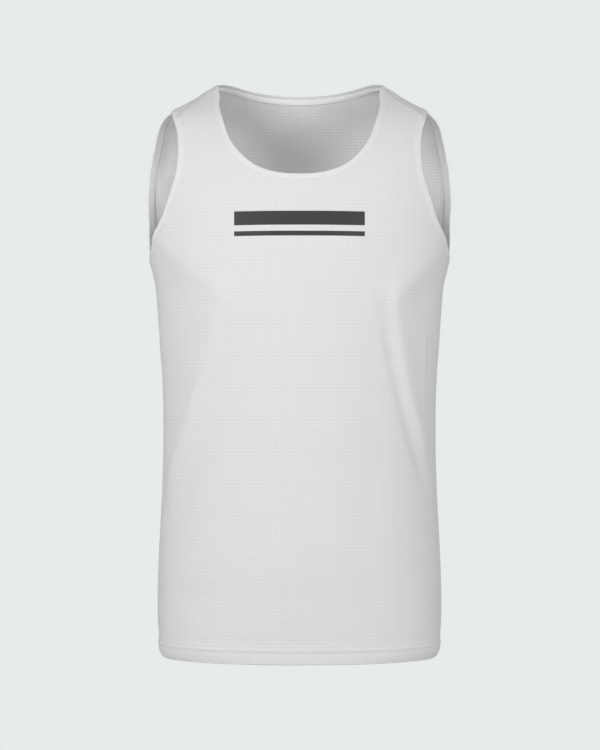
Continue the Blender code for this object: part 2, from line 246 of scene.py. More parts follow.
# The hem's two rows of stitches lie in dips, and the cloth swells or, at a minus rise, sinks between and
# beside them: heights above the fold, half widths and sizes in mm
HEM_SEAMS = (
    ("height", "half_width", "depth"),
    (13.4, 0.9, 0.36),
    (18.6, 0.9, 0.12),
)
HEM_SWELLS = (
    ("height", "half_width", "rise"),
    (16.4, 1.9, 0.42),
    (25.5, 4.5, -0.4),
    (7.0, 5.0, 0.2),
)

# The swells are uneven along the hem: how many waves go round it, how strong they are as a share of a
# swell, and how far they are turned from one swell to the next, in radians
HEM_WAVES = (
    ("count", "share", "turn"),
    (17, 0.3, 2),
    (41, 0.2, 1),
)

# Places along an edge: in each quarter of the neck's bands and each half of an armhole's, along a panel's
# hem stitches, and while an edge is measured
BAND_PLACES = 144
HEM_STITCH_PLACES = 720
FINE_PLACES = 400

# Stitches. The middle of the thread lies a little above a band's groove and above the hem.
THREAD_WIDTH = 0.34 * MM
THREAD_RISE = 0.2 * MM
THREAD_OVER_GROOVE = 0.08 * MM
THREAD_OVER_HEM = 0.03 * MM
STITCH_LENGTH = 2.0 * MM
STITCH_PITCH = 2.7 * MM

# The jersey's grid and its knit, and the bands' and the tape's ribs
GRID_ACROSS = 3.6 * MM
GRID_UP = 4.1 * MM
GRID_LINE = 0.42 * MM
GRID_SOFTNESS = 0.22 * MM
GRID_DEPTH = 0.08 * MM
KNIT_ACROSS = 0.72 * MM
KNIT_UP = 0.51 * MM
KNIT_DEPTH = 0.018 * MM
BAND_RIB_PITCH = 0.9 * MM
TAPE_RIB_PITCH = 0.6 * MM
RIB_DEPTH = 0.03 * MM
LOOP_DEPTH = 0.012 * MM

# How strongly the lines, the clouds and the knit show in the jersey's colour. Outside, the lines fade
# towards the shoulders, round GRID_FADE_UP above the hem along the cloth.
LINE_SHARE = 0.8
LINE_SHARE_HIGH = 0.5
GRID_FADE_UP = 575.0 * MM
GRID_FADE = 45.0 * MM
CLOUD_SHARE = 0.2
KNIT_SHARE = 0.05

# How strongly the ribs and the clouds show in a band's colour, and how dark it is without them
RIB_SHARE = 0.25
BAND_CLOUD_SHARE = 0.5
BAND_SHADE = 0.1

# The print on the chest: bars of ink, the height of their middle above the hem along the cloth, in mm
PRINT_BARS = (
    ("height", "half_height", "half_width"),
    (516, 8.2, 76),
    (498, 2.8, 76),
)
INK_EDGE = 0.15 * MM

# The photograph's view: level, from the front, far away with a long lens
CAMERA_PLACE = (0.0006, -2.8, -0.348)
CAMERA_LENS = 112
CAMERA_SENSOR = 36

# Large soft lamps round the garment, aimed at its middle: place and size in metres, power in watts
LIGHT_AIM = (0, 0, -0.35)
LIGHTS = (
    ("name", "place", "size", "power"),
    ("front_right", (-1.6, -2.8, 0.0), 1.4, 7.2),
    ("front_low", (0, -3.2, -1.1), 1.2, 3.4),
    ("high_right", (-1.3, -2.3, 1.7), 1.4, 6.8),
    ("near_right", (-1.3, -1.7, 0.3), 1.0, 16.3),
    ("near_left", (1.3, -1.7, 0.3), 1.0, 11.3),
    ("side_right", (-2.3, -1.9, 0.4), 1.2, 7.0),
    ("side_left", (2.3, -1.9, 0.4), 1.2, 13.8),
    ("right", (-2.9, -0.9, -0.2), 1.4, 11.5),
    ("left", (2.9, -0.9, -0.2), 1.4, 12.6),
    ("behind", (-0.3, 3.0, 0.2), 1.4, 28.0),
    ("behind_left", (0.9, 2.9, 0.7), 1.4, 14.0),
)
WORLD_LIGHT = 0.124
FLOOR_RADIUS = 6.0
FLOOR_HEIGHT = -1.55


def rows(table):
    """The rows of a table, each as a dictionary by the names of the columns."""
    return [dict(zip(table[0], row)) for row in table[1:]]


def column(table, name):
    """One named column of a table as an array."""
    return np.array([row[name] for row in rows(table)], float)


class Spline:
    """A cubic spline through knots. Its slope is zero at level ends, and its curvature at others."""

    def __init__(self, knots, values, level_ends=False):
        order = np.argsort(knots)
        self.knots = np.asarray(knots, float)[order]
        self.values = np.asarray(values, float)[order]
        step = np.diff(self.knots)
        rise = np.diff(self.values) / step
        count = len(self.knots)
        matrix = np.eye(count)
        right = np.zeros(count)
        for i in range(1, count - 1):
            matrix[i, i - 1 : i + 2] = step[i - 1], 2 * (step[i - 1] + step[i]), step[i]
            right[i] = 6 * (rise[i] - rise[i - 1])
        if level_ends:
            matrix[0, :2] = 2 * step[0], step[0]
            matrix[-1, -2:] = step[-1], 2 * step[-1]
            right[0] = 6 * rise[0]
            right[-1] = -6 * rise[-1]
        self.curvature = np.linalg.solve(matrix, right)

    def __call__(self, at):
        at = np.clip(at, self.knots[0], self.knots[-1])
        i = np.clip(np.searchsorted(self.knots, at) - 1, 0, len(self.knots) - 2)
        step = self.knots[i + 1] - self.knots[i]
        low = (self.knots[i + 1] - at) / step
        high = 1 - low
        bend = (low**3 - low) * self.curvature[i] + (high**3 - high) * self.curvature[i + 1]
        return low * self.values[i] + high * self.values[i + 1] + bend * step**2 / 6


SECTION_HEIGHTS = column(SECTIONS, "height") * MM
HALF_WIDTH = Spline(SECTION_HEIGHTS, column(SECTIONS, "half_width") * MM)
FRONT_DEPTH = Spline(SECTION_HEIGHTS, column(SECTIONS, "front") * MM)
BACK_DEPTH = Spline(SECTION_HEIGHTS, column(SECTIONS, "back") * MM)
SQUARENESS = Spline(SECTION_HEIGHTS, column(SECTIONS, "squareness"))


def plain_form(angle, height):
    """Points of the torso form without folds, at angles in radians and heights in metres."""
    sine = np.sin(angle)
    behind = np.cos(angle) < 0
    climb = np.clip((height - FLARE_LOW) / (FLARE_HIGH - FLARE_LOW), 0, 1)
    flare = np.where(behind, BACK_FLARE * np.sin(math.pi * climb) ** 2, 0)
    depth = np.where(behind, BACK_DEPTH(height), -FRONT_DEPTH(height))
    power = SQUARENESS(height)
    across = (HALF_WIDTH(height) + flare) * sine
    along = depth * np.maximum(1 - np.abs(sine) ** power, 0) ** (1 / power)
    return np.stack([across, along, height + 0 * angle], axis=-1)


def slopes(surface, angle, height):
    """How a surface's points move with the angle and with the height."""
    turn = math.radians(0.5)
    rise = 0.5 * MM
    by_angle = (surface(angle + turn, height) - surface(angle - turn, height)) / (2 * turn)
    by_height = (surface(angle, height + rise) - surface(angle, height - rise)) / (2 * rise)
    return by_angle, by_height


def outward(surface, angle, height):
    """Unit normals of a surface, pointing away from the body."""
    normal = np.cross(*slopes(surface, angle, height))
    return normal / np.linalg.norm(normal, axis=-1, keepdims=True)


def smooth_step(value):
    value = np.clip(value, 0, 1)
    return value * value * (3 - 2 * value)


def fold_relief(angle, height):
    """How far the cloth stands out from the form at each place, from the tables of folds and creases."""
    angle = np.mod(np.asarray(angle) + math.pi, 2 * math.pi) - math.pi
    relief = 0 * angle
    for table, edge, end in ((FOLDS, FOLD_EDGE, FOLD_END), (CREASES, CREASE_EDGE, CREASE_END)):
        for fold in rows(table):
            start = np.array([math.radians(fold["from_angle"]) * FOLD_RADIUS, fold["from_height"] * MM])
            finish = np.array([math.radians(fold["to_angle"]) * FOLD_RADIUS, fold["to_height"] * MM])
            length = np.linalg.norm(finish - start)
            along_x, along_z = (finish - start) / length
            for turn in (-2 * math.pi, 0, 2 * math.pi):
                right = (angle + turn) * FOLD_RADIUS - start[0]
                up = height - start[1]
                share = (right * along_x + up * along_z) / length
                bow = fold["bow"] * MM * 4 * share * (1 - share)
                away = (up * along_x - right * along_z - bow) / (fold["half_width"] * MM)
                away = np.where(away > 0, away / (1 + fold["skew"]), away)
                fall = (np.sqrt(away**2 + edge**2) - edge) / (math.sqrt(1 + edge**2) - edge)
                ends = smooth_step(share / end) * smooth_step((1 - share) / end)
                relief = relief + fold["depth"] * MM * ends * np.exp(-fall)
    return relief


def hem_relief(angle, height):
    """How far the cloth stands out along the hem, from the tables of its seams and swells."""

    def bell(row):
        return np.exp(-(((height - HEM_HEIGHT) / MM - row["height"]) / row["half_width"]) ** 2)

    relief = 0 * height
    for seam in rows(HEM_SEAMS):
        relief = relief - seam["depth"] * MM * bell(seam)
    for number, swell in enumerate(rows(HEM_SWELLS)):
        uneven = 1
        for wave in rows(HEM_WAVES):
            uneven = uneven + wave["share"] * np.sin(wave["count"] * angle + wave["turn"] * number)
        relief = relief + uneven * swell["rise"] * MM * bell(swell)
    return relief


def cloth(angle, height):
    """The outer face of the cloth: the form with its folds and its hem."""
    lift = (fold_relief(angle, height) + hem_relief(angle, height))[..., None]
    return plain_form(angle, height) + lift * outward(plain_form, angle, height)


def walk(angle, height, direction, distance):
    """Moves places over the form by a distance along directions in space."""
    steps = 4
    for _ in range(steps):
        by_angle, by_height = slopes(plain_form, angle, height)
        aa = (by_angle**2).sum(-1)
        hh = (by_height**2).sum(-1)
        ah = (by_angle * by_height).sum(-1)
        da = (by_angle * direction).sum(-1)
        dh = (by_height * direction).sum(-1)
        det = aa * hh - ah**2
        angle = angle + (da * hh - dh * ah) / det * distance / steps
        height = height + (dh * aa - da * ah) / det * distance / steps
    return angle, height


class Edge:
    """A closed finished edge on the form: angles, heights and the direction into the cloth at each place.

    Seen from outside, the cloth lies to the right of the way along it for hand 1, and to the left for -1.
    """

    def __init__(self, angle, height, hand):
        self.angle = angle
        self.height = height
        self.hand = hand
        points = plain_form(angle, height)
        along = np.roll(points, -1, axis=0) - np.roll(points, 1, axis=0)
        inward = hand * np.cross(along, outward(plain_form, angle, height))
        self.inward = inward / np.linalg.norm(inward, axis=-1, keepdims=True)

    def inside(self, distance):
        """The edge moved into the cloth by a distance. Places on a centre line or a seam stay on it."""
        angle, height = walk(self.angle, self.height, self.inward, distance)
        quarters = self.angle / (math.pi / 2)
        on_line = np.isclose(quarters, np.round(quarters))
        return np.where(on_line, self.angle, angle), height


def lengths_along(points):
    """How far along a line of points each of them lies."""
    return np.concatenate([[0], np.cumsum(np.linalg.norm(np.diff(points, axis=0), axis=1))])


def even_places(angle_curve, height_curve, start, end, count):
    """Places evenly spaced along a curve on the form, both ends included."""
    fine = np.linspace(start, end, FINE_PLACES + 1)
    run = lengths_along(plain_form(angle_curve(fine), height_curve(fine)))
    at = np.interp(np.linspace(0, run[-1], count + 1), run, fine)
    return angle_curve(at), height_curve(at)


def edge_curves(table):
    """Splines for an edge's angle and height over the length of its chords, and that length at each row."""
    angle = np.radians(column(table, "angle"))
    height = column(table, "height") * MM
    run = lengths_along(plain_form(angle, height))
    return Spline(run, angle), Spline(run, height, level_ends=True), run


def neck_edge(count):
    """The neck edge with a count of places in each quarter, from the centre front to the wearer's left."""
    angle_curve, height_curve, run = edge_curves(NECK_EDGE)
    shoulder = run[NECK_SHOULDER_ROW]
    front = even_places(angle_curve, height_curve, 0, shoulder, count)
    back = even_places(angle_curve, height_curve, shoulder, run[-1], count)
    angle = np.concatenate([front[0][:-1], back[0]])
    height = np.concatenate([front[1][:-1], back[1]])
    angle = np.concatenate([angle, 2 * math.pi - angle[-2:0:-1]])
    height = np.concatenate([height, height[-2:0:-1]])
    return Edge(angle, height, 1)


def armhole_edge(count):
    """The wearer's left armhole, with a count of places for each half, from the underarm up the front."""
    front_angle, front_height, front_run = edge_curves(ARMHOLE_FRONT)
    back_angle, back_height, back_run = edge_curves(ARMHOLE_BACK)
    front = even_places(front_angle, front_height, 0, front_run[-1], count)
    back = even_places(back_angle, back_height, 0, back_run[-1], count)
    angle = np.concatenate([front[0][:-1], back[0][:-1]])
    height = np.concatenate([front[1][:-1], back[1][:-1]])
    return Edge(angle, height, -1)


class Value:
    """One number in a shader. Python's operators add its Math nodes."""

    def __init__(self, graph, socket):
        self.graph = graph
        self.socket = socket

    def math(self, operation, *others):
        node = self.graph.node("ShaderNodeMath", {"operation": operation}, [self, *others])
        return Value(self.graph, node.outputs[0])

    def __add__(self, other):
        return self.math("ADD", other)

    __radd__ = __add__

    def __mul__(self, other):
        return self.math("MULTIPLY", other)

    def __sub__(self, other):
        return self.math("SUBTRACT", other)

    def __truediv__(self, other):
        return self.math("DIVIDE", other)

    def sine(self):
        return self.math("SINE")

    def size(self):
        return self.math("ABSOLUTE")

    def apart(self, pitch):
        """The distance to the nearest whole multiple of a pitch."""
        return (self - (self / pitch).math("ROUND") * pitch).size()

    def below(self, limit, softness):
        """1 where the value is under a limit, 0 where it is over, and a soft step between."""
        settings = {"interpolation_type": "SMOOTHSTEP"}
        values = [self, limit - softness, limit + softness, 1.0, 0.0]
        node = self.graph.node("ShaderNodeMapRange", settings, values)
        return Value(self.graph, node.outputs[0])


class Finish:
    """A material with its Principled shader and the helpers that fill in its nodes."""

    def __init__(self, name):
        self.material = bpy.data.materials.new(name)
        self.material.use_nodes = True
        self.tree = self.material.node_tree
        self.shader = self.tree.nodes["Principled BSDF"]

    def node(self, kind, settings=None, values=()):
        """One node of a kind, with its settings and with values or links for its sockets in order."""
        node = self.tree.nodes.new(kind)
        for key, setting in (settings or {}).items():
            setattr(node, key, setting)
        for socket, value in zip([s for s in node.inputs if s.enabled], values):
            self.fill(socket, value)
        return node

    def fill(self, socket, value):
        if isinstance(value, Value):
            self.tree.links.new(value.socket, socket)
        elif isinstance(value, bpy.types.NodeSocket):
            self.tree.links.new(value, socket)
        else:
            socket.default_value = value

    def set(self, name, value):
        self.fill(self.shader.inputs[name], value)

    def across_and_up(self):
        """The place on the cloth in metres, from the piece's own map."""
        place = self.node("ShaderNodeUVMap", {"uv_map": "cloth"})
        split = self.node("ShaderNodeSeparateXYZ", None, [place.outputs[0]])
        return Value(self, split.outputs[0]), Value(self, split.outputs[1])

    def noise(self, scale):
        """Soft noise from 0 to 1 over the object, scale being how many of its lumps fit in a metre."""
        place = self.node("ShaderNodeTexCoord").outputs["Object"]
        node = self.node("ShaderNodeTexNoise", None, [place, scale])
        return Value(self, node.outputs[0])

    def mix(self, share, first, second):
        node = self.node("ShaderNodeMix", {"data_type": "RGBA"}, [share, first, second])
        return node.outputs[2]

    def bump(self, height):
        """Relief from heights in metres."""
        node = self.node("ShaderNodeBump")
        for name, value in (("Strength", 1.0), ("Distance", 1.0), ("Height", height)):
            self.fill(node.inputs[name], value)
        self.set("Normal", node.outputs[0])


def linear(value):
    """The linear light of an sRGB value from 11 to 255."""
    return ((value / 255 + 0.055) / 1.055) ** 2.4


def grey(value):
    """An sRGB grey as a linear colour."""
    return (linear(value),) * 3 + (1.0,)


# Tones of the materials: the light parts, and the darker lines or ribs
JERSEY_LIGHT = grey(236)
JERSEY_LINE = grey(227)
INSIDE_LIGHT = grey(238)
INSIDE_LINE = grey(221)
INK = grey(53)
BAND_LIGHT = grey(241)
BAND_RIB = grey(234)
# Painted shade: the neck band's inner layer is the same binding jersey as outside, painted darker for the
# shade inside the back neck
NECK_BAND_SHADED_LIGHT = grey(230)
NECK_BAND_SHADED_RIB = grey(221)
# Painted light: the armhole bands' inner layer is the same binding jersey as outside, painted lighter where
# little light reaches inside the back armholes
ARMHOLE_BAND_LIT_LIGHT = grey(252)
ARMHOLE_BAND_LIT_RIB = grey(246)
# Painted shade along the seam inside the armhole bands
FURROW_SHADE = grey(214)
TAPE_LIGHT = grey(254)
TAPE_RIB = grey(248)
THREAD_COLOUR = grey(234)
BACKDROP = (linear(231), linear(235), linear(234), 1.0)


def jersey(name, light, line, fades=True, printed=False):
    """White jersey: a fine knit, sunk along a grid of darker lines that may fade towards the shoulders."""
    finish = Finish(name)
    across, up = finish.across_and_up()
    upright = across.apart(GRID_ACROSS).below(GRID_LINE, GRID_SOFTNESS)
    level = up.apart(GRID_UP).below(GRID_LINE, GRID_SOFTNESS)
    lines = upright.math("MAXIMUM", level)
    knit = (across * (2 * math.pi / KNIT_ACROSS)).sine() * (up * (2 * math.pi / KNIT_UP)).sine()
    cloudy = finish.noise(38.0)
    line_share = LINE_SHARE
    if fades:
        line_share = LINE_SHARE_HIGH + up.below(GRID_FADE_UP, GRID_FADE) * (LINE_SHARE - LINE_SHARE_HIGH)
    shade = lines * line_share + cloudy * CLOUD_SHARE - knit * KNIT_SHARE
    colour = finish.mix(shade, light, line)
    rough = 0.78 + cloudy * 0.1
    if printed:
        ink = None
        for bar in rows(PRINT_BARS):
            high = (up - bar["height"] * MM).size().below(bar["half_height"] * MM, INK_EDGE)
            wide = across.size().below(bar["half_width"] * MM, INK_EDGE)
            ink = high * wide if ink is None else ink + high * wide
        colour = finish.mix(ink, colour, INK)
        rough = rough - ink * 0.22
    finish.set("Base Color", colour)
    finish.set("Roughness", rough)
    finish.set("Sheen Weight", 0.12)
    finish.set("Sheen Roughness", 0.5)
    finish.bump(lines * -GRID_DEPTH + knit * KNIT_DEPTH)
    return finish.material


def band_jersey(name, light, rib, pitch, seam=None, sheen=0.1):
    """Smooth stretch strip with fine ribs across it. A seam, if given, lies that far in, along a line of
    painted shade.
    """
    finish = Finish(name)
    along, across = finish.across_and_up()
    ribs = (along * (2 * math.pi / pitch)).sine()
    loops = (across * (2 * math.pi / KNIT_UP)).sine()
    cloudy = finish.noise(60.0)
    colour = finish.mix(ribs * RIB_SHARE + cloudy * BAND_CLOUD_SHARE + BAND_SHADE, light, rib)
    if seam:
        # Painted shade: a darker line along the seam's groove
        furrow_shade = (across - seam).size().below(FURROW_SHADE_WIDTH / 2, FURROW_SHADE_WIDTH / 4)
        colour = finish.mix(furrow_shade, colour, FURROW_SHADE)
    finish.set("Base Color", colour)
    finish.set("Roughness", 0.7 + cloudy * 0.12)
    finish.set("Sheen Weight", sheen)
    finish.bump(ribs * RIB_DEPTH + loops * ribs * LOOP_DEPTH)
    return finish.material


def thread(name):
    """Twisted sewing thread."""
    finish = Finish(name)
    cloudy = finish.noise(900.0)
    finish.set("Base Color", finish.mix(cloudy, THREAD_COLOUR, JERSEY_LINE))
    finish.set("Roughness", 0.6 + cloudy * 0.2)
    finish.set("Sheen Weight", 0.1)
    return finish.material


def mesh_piece(name, points, faces, places, materials, inner_faces):
    """A mesh with the cloth's map: for each point its place across and up the cloth, in metres.

    The first material covers it all but the inner faces, which get the second.
    """
    mesh = bpy.data.meshes.new(name)
    mesh.from_pydata(points.tolist(), [], faces)
    corners = np.empty(len(mesh.loops), int)
    mesh.loops.foreach_get("vertex_index", corners)
    cloth_map = mesh.uv_layers.new(name="cloth")
    cloth_map.data.foreach_set("uv", places[corners].ravel())
    mesh.shade_smooth()
    for material in materials:
        mesh.materials.append(material)
    slots = np.zeros(len(faces), int)
    slots[inner_faces] = 1
    mesh.polygons.foreach_set("material_index", slots)
    piece = bpy.data.objects.new(name, mesh)
    bpy.context.scene.collection.objects.link(piece)
    return piece


def panel_places(behind, neck_angle, neck_height, hole_angle, hole_height):
    """The angles and heights of half a panel's rows and columns, from the places along its edges.

    Neck places start at the centre line and armhole places at the underarm. Both end at the shoulder.
    Columns stand upright near the hem, and higher up they lean towards their places at the top.
    """
    side = math.pi / 2
    centre = math.pi if behind else 0
    strap_end = NECK_COLUMNS + STRAP_COLUMNS
    top_row = len(HEM_ROWS) + BODY_ROWS
    angle = np.zeros((top_row + STRAP_ROWS + 1, COLUMNS + 1))
    height = np.zeros_like(angle)

    across = np.linspace(0, 1, STRAP_COLUMNS + 1)
    strap = slice(NECK_COLUMNS, strap_end + 1)
    for step in range(STRAP_ROWS + 1):
        near = NECK_COLUMNS + step
        far = ARMHOLE_COLUMNS + step
        angle[top_row + step, strap] = neck_angle[near] * (1 - across) + hole_angle[far] * across
        height[top_row + step, strap] = neck_height[near] * (1 - across) + hole_height[far] * across
    angle[top_row, : NECK_COLUMNS + 1] = neck_angle[: NECK_COLUMNS + 1]
    height[top_row, : NECK_COLUMNS + 1] = neck_height[: NECK_COLUMNS + 1]
    angle[top_row, strap_end:] = hole_angle[ARMHOLE_COLUMNS::-1]
    height[top_row, strap_end:] = hole_height[ARMHOLE_COLUMNS::-1]

    hem_angle = np.linspace(centre, side, COLUMNS + 1)
    last = len(HEM_ROWS) - 1
    for row in range(top_row):
        share = max(row - last, 0) / (top_row - last)
        low = HEM_HEIGHT + HEM_ROWS[min(row, last)] * MM
        angle[row] = hem_angle * (1 - share**3) + angle[top_row] * share**3
        height[row] = low * (1 - share) + height[top_row] * share
    return angle, height


def panel_faces(behind):
    """The grid's faces for a whole panel, and for each of its points the row and the column.

    Columns below 0 are on the wearer's right.
    """
    index = {}

    def point(row, col):
        return index.setdefault((row, col), len(index))

    top_row = len(HEM_ROWS) + BODY_ROWS
    faces = []
    for row in range(top_row + STRAP_ROWS):
        for col in range(-COLUMNS, COLUMNS):
            beside = col if col >= 0 else -col - 1
            if row >= top_row and not NECK_COLUMNS <= beside < NECK_COLUMNS + STRAP_COLUMNS:
                continue
            corners = [point(row, col), point(row, col + 1), point(row + 1, col + 1), point(row + 1, col)]
            faces.append(tuple(reversed(corners)) if behind else tuple(corners))
    return faces, np.array(list(index))


def wall_of(faces, count):
    """Faces of a wall: an outer and an inner sheet of points with the same faces, closed round the rim."""
    edges = {}
    for face in faces:
        for a, b in zip(face, face[1:] + face[:1]):
            edges[(a, b)] = True
    rim = [(a, b) for a, b in edges if (b, a) not in edges]
    closed = list(faces)
    closed += [tuple(count + i for i in reversed(face)) for face in faces]
    closed += [(b, a, count + a, count + b) for a, b in rim]
    return closed


def cloth_places(angle, height, centre):
    """How far each place lies across the cloth from the centre line and up from the hem, along the form."""
    steps = 64
    share = np.linspace(0, 1, steps + 1)[:, None]
    level = plain_form(centre + (angle - centre) * share, height + 0 * share)
    across = np.linalg.norm(np.diff(level, axis=0), axis=-1).sum(0) * np.sign(angle - centre)
    upright = plain_form(angle + 0 * share, HEM_HEIGHT + (height - HEM_HEIGHT) * share)
    up = np.linalg.norm(np.diff(upright, axis=0), axis=-1).sum(0)
    return np.stack([across, up], axis=-1)


def round_in(distance, radius):
    """How far a face sinks at a distance from a rounded edge."""
    return radius - np.sqrt(radius**2 - np.clip(radius - distance, 0, radius) ** 2)


def panel(name, behind, neck, armhole, materials):
    """The front or the back: a wall of cloth, doubled along its hem. Also its flat size and flat area."""
    neck_angle, neck_height = neck.inside(CLOTH_UNDER_BAND)
    hole_angle, hole_height = armhole.inside(CLOTH_UNDER_BAND)
    neck_count = NECK_COLUMNS + STRAP_ROWS
    hole_count = ARMHOLE_COLUMNS + STRAP_ROWS
    if behind:
        neck_part = list(range(2 * neck_count, neck_count - 1, -1))
        hole_part = [0] + list(range(2 * hole_count - 1, hole_count - 1, -1))
    else:
        neck_part = list(range(neck_count + 1))
        hole_part = list(range(hole_count + 1))
    neck_places = neck_angle[neck_part], neck_height[neck_part]
    hole_places = hole_angle[hole_part], hole_height[hole_part]

    half = panel_places(behind, *neck_places, *hole_places)
    faces, grid = panel_faces(behind)
    row, col = grid.T
    angle = half[0][row, abs(col)]
    angle = np.where(col < 0, (2 * math.pi if behind else 0) - angle, angle)
    height = half[1][row, abs(col)]

    from_seam = np.minimum(COLUMNS - abs(col), half[0].shape[0] - 1 - row)
    above = height - HEM_HEIGHT
    layers = np.where(row <= HEM_ROWS.index(round(HEM_DEPTH / MM)), 2, 1)
    normal = outward(cloth, angle, height)
    dip = SEAM_DIP * SEAM_DIP_FADE**from_seam + round_in(above, HEM_ROUND)
    outer = cloth(angle, height) - dip[:, None] * normal
    depth = layers * CLOTH - 2 * round_in(above, HEM_ROUND) + HEM_FOLD_WALL
    inner = outer - depth[:, None] * normal
    points = np.concatenate([outer, inner])
    points[:, 1] += SEAM_CLEARANCE * (1 if behind else -1)
    places = cloth_places(angle, height, math.pi if behind else 0.0)
    inner_faces = slice(len(faces), 2 * len(faces))
    both = np.concatenate([places, places])
    piece = mesh_piece(name, points, wall_of(faces, len(outer)), both, materials, inner_faces)

    corners = plain_form(angle, height)[np.array(faces)]
    crossed = np.cross(corners[:, 2] - corners[:, 0], corners[:, 3] - corners[:, 1])
    area = np.linalg.norm(crossed, axis=1).sum() / 2
    hem_width = np.ptp(places[row == 0, 0])
    flat = (np.ptp(places[:, 0]), np.ptp(places[:, 1]) + HEM_DEPTH)
    return piece, flat, area + hem_width * HEM_DEPTH


def strip(name, places, hand, profile, materials, closed=True, inner_part=slice(0)):
    """A narrow strip along an edge, its profile given as distances in from it and depths under the cloth.

    The places function gives the angles and heights at a distance in from the edge.
    """
    rings = []
    for distance, depth in profile:
        angle, height = places(distance)
        rings.append(cloth(angle, height) - np.asarray(depth)[..., None] * outward(cloth, angle, height))
    points = np.stack(rings, axis=1)
    count, size = points.shape[:2]
    along = lengths_along(points[:, size // 2])
    distances = [distance for distance, _ in profile]
    mapped = np.stack(np.meshgrid(along, distances, indexing="ij"), axis=-1)
    runs = count if closed else count - 1
    faces = []
    for i in range(runs):
        after = (i + 1) % count
        for j in range(size):
            beside = (j + 1) % size
            faces.append((i * size + j, i * size + beside, after * size + beside, after * size + j))
    if not closed:
        faces.append(tuple(range(size - 1, -1, -1)))
        faces.append(tuple((count - 1) * size + j for j in range(size)))
    if hand < 0:
        faces = [tuple(reversed(face)) for face in faces]
    inner_faces = np.zeros(len(faces), bool)
    inner_faces[: runs * size].reshape(runs, size)[:, inner_part] = True
    return mesh_piece(name, points.reshape(-1, 3), faces, mapped.reshape(-1, 2), materials, inner_faces)


def band_profile(outer_width, inner_width):
    """The profile of a strip folded round the cut edge: outer layer, hollow for the cloth, and inner layer.

    Also which part of it is the inner layer. A wider inner layer is fuller, with a deeper groove.
    """
    top = -BAND_CLOTH - BAND_CLEARANCE
    bottom = CLOTH + BAND_CLEARANCE + BAND_CLOTH
    middle = (top + bottom) / 2
    fold = (bottom - top) / 2
    hollow = fold - BAND_CLOTH
    turn = np.linspace(0, math.pi / 2, 6)[:-1]

    def layer(sign, level, width, swell, groove):
        """The round at the fold and the layer from there to its cut edge: sign 1 outside, -1 inside."""
        rounded = [(fold - fold * math.cos(t), middle - sign * fold * math.sin(t)) for t in turn]
        stitch = width - BAND_STITCH
        places = (
            ("across", "rise"),
            (fold, 0),
            (0.25 * width, 0.8 * swell),
            (0.45 * width, swell),
            (0.65 * width, 0.9 * swell),
            (stitch - 0.7 * MM, 0.5 * swell),
            (stitch, -groove),
            (stitch + 0.6 * MM, 0.2 * swell),
            (width - 0.12 * MM, -0.05 * MM),
            (width, -0.6 * BAND_CLOTH),
            (width - 0.05 * MM, -BAND_CLOTH),
        )
        return rounded, [(place["across"], level - sign * place["rise"]) for place in rows(places)]

    fuller = inner_width > outer_width
    swell_inside = BAND_SWELL_INSIDE if fuller else BAND_SWELL
    groove_inside = BAND_GROOVE_INSIDE if fuller else BAND_GROOVE
    outer_round, outer_flat = layer(1, top, outer_width, BAND_SWELL, BAND_GROOVE)
    inner_round, inner_flat = layer(-1, bottom, inner_width, swell_inside, groove_inside)
    corner = 0.7 * hollow
    inside = [
        (fold, top + BAND_CLOTH),
        (fold - corner, middle - corner),
        (fold - hollow, middle),
        (fold - corner, middle + corner),
        (fold, bottom - BAND_CLOTH),
    ]
    outer = outer_round + outer_flat + inside
    return outer + inner_flat[::-1] + inner_round[:0:-1], slice(len(outer), None)


def band(name, edge, widths, materials, side=1):
    """A bound edge with the widths of its outer and inner layers. Side -1 puts it on the wearer's right."""

    def places(distance):
        angle, height = edge.inside(distance)
        return side * angle, height

    profile, inner_part = band_profile(*widths)
    return strip(name, places, edge.hand * side, profile, materials, inner_part=inner_part)


def stitches_along(points, normals):
    """The middles, directions and normals of evenly spaced stitches along a line of points."""
    run = lengths_along(points)
    count = int(run[-1] / STITCH_PITCH)
    at = (np.arange(count) + 0.5) * run[-1] / count
    ahead = at + STITCH_LENGTH / 2
    behind = at - STITCH_LENGTH / 2

    def sample(values, where):
        return np.stack([np.interp(where, run, values[:, k]) for k in range(3)], axis=-1)

    return sample(points, at), sample(points, ahead) - sample(points, behind), sample(normals, at)


